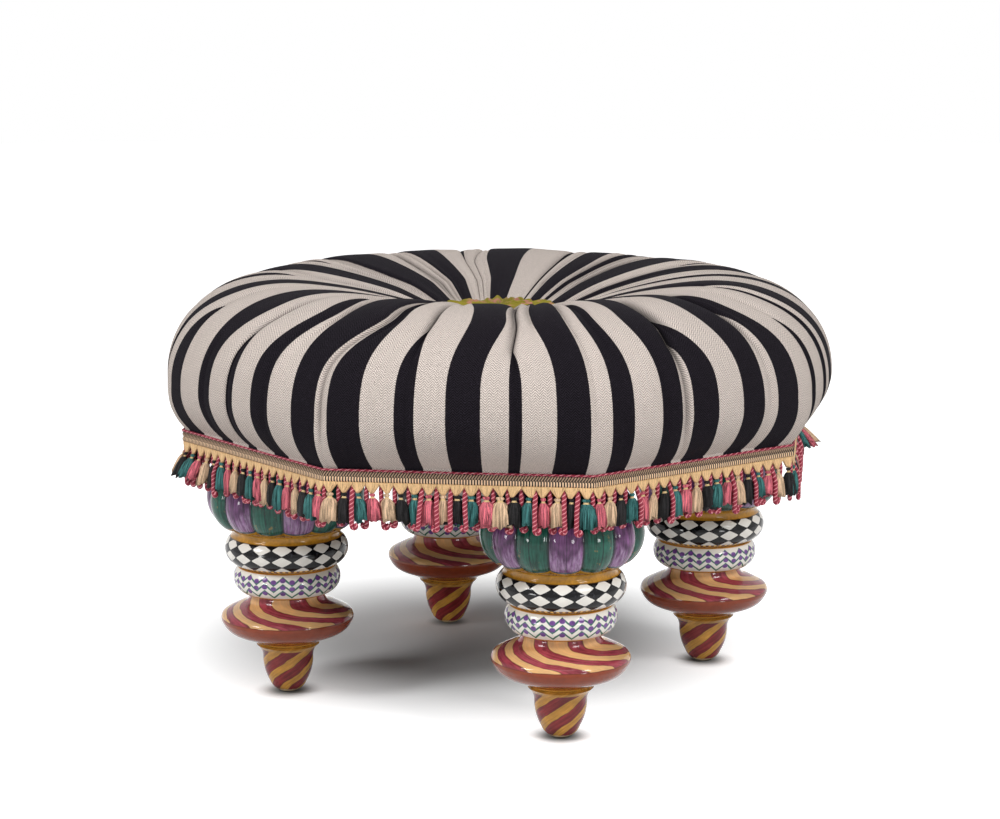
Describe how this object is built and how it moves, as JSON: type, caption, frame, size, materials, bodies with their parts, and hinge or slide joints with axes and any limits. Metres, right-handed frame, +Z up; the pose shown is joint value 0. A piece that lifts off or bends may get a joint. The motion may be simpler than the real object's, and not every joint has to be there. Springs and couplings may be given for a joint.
{
  "type": "ottoman",
  "caption": "Round tufted ottoman with a pleated striped cushion, an octagonal fringed frame and turned glazed ceramic legs.",
  "frame": {"origin": "on the floor under the middle of the seat", "axes": "+Z up; the octagonal frame has its corners on the X and Y axes and half way between them, with a leg under each corner at 45, 135, 225 and 315 degrees"},
  "size_m": [0.7836, 0.7836, 0.4864],
  "materials": {
    "spiral_glaze": "gloss hand-painted glaze, ochre and burgundy spiral stripes",
    "saucer_glaze": "gloss hand-painted glaze, ochre and burgundy swirl with a terracotta rim",
    "zigzag_glaze": "gloss glaze, white with fine green and violet figures",
    "harlequin_glaze": "gloss glaze, black and white with an ochre collar",
    "lobe_glaze": "gloss glaze, alternate violet and green lobes",
    "zinc_steel": "zinc plated",
    "cork": "matt cork",
    "hardwood": "sawn, unfinished",
    "plywood": "sanded, unfinished",
    "foam": "open-cell foam",
    "cotton_wadding": "soft felted cotton",
    "striped_twill": "woven black and natural stripe, fine twill",
    "olive_cloth": "gathered olive cloth",
    "twine": "waxed twine",
    "dust_cloth": "thin black cambric",
    "woven_braid": "woven braid, dark and cream bars",
    "rose_cord": "twisted rose and white cord",
    "cream_thread": "cream rayon thread",
    "teal_thread": "teal rayon thread",
    "rose_thread": "rose rayon thread",
    "black_thread": "black rayon thread"
  },
  "bodies": {
    "root": {"braid": "woven_braid", "bullion_cords": "rose_cord", "centre_rosette": "olive_cloth", "check_ring_1": "harlequin_glaze", "check_ring_2": "harlequin_glaze", "check_ring_3": "harlequin_glaze", "check_ring_4": "harlequin_glaze", "corner_block_1": "hardwood", "corner_block_2": "hardwood", "corner_block_3": "hardwood", "corner_block_4": "hardwood", "dust_cover": "dust_cloth", "edge_roll": "foam", "foam_bun": "foam", "foot_finial_1": "spiral_glaze", "foot_finial_2": "spiral_glaze", "foot_finial_3": "spiral_glaze", "foot_finial_4": "spiral_glaze", "frame_screws": "zinc_steel", "fringe_header": "cream_thread", "glue_blocks": "hardwood", "lattice_ring_1": "zigzag_glaze", "lattice_ring_2": "zigzag_glaze", "lattice_ring_3": "zigzag_glaze", "lattice_ring_4": "zigzag_glaze", "leg_gaskets": "cork", "leg_plates": "zinc_steel", "leg_rods": "zinc_steel", "lip_cord": "rose_cord", "lobed_bulb_1": "lobe_glaze", "lobed_bulb_2": "lobe_glaze", "lobed_bulb_3": "lobe_glaze", "lobed_bulb_4": "lobe_glaze", "plate_screws": "zinc_steel", "rail_1": "hardwood", "rail_2": "hardwood", "rail_3": "hardwood", "rail_4": "hardwood", "rail_5": "hardwood", "rail_6": "hardwood", "rail_7": "hardwood", "rail_8": "hardwood", "rosette_former": "plywood", "saucer_1": "saucer_glaze", "saucer_2": "saucer_glaze", "saucer_3": "saucer_glaze", "saucer_4": "saucer_glaze", "seat_board": "plywood", "striped_cover": "striped_twill", "tassels_black": "black_thread", "tassels_cream": "cream_thread", "tassels_rose": "rose_thread", "tassels_teal": "teal_thread", "top_nuts": "zinc_steel", "top_washers": "zinc_steel", "tuft_toggle": "hardwood", "tuft_twine": "twine", "wadding": "cotton_wadding"}
  },
  "joints": []
}
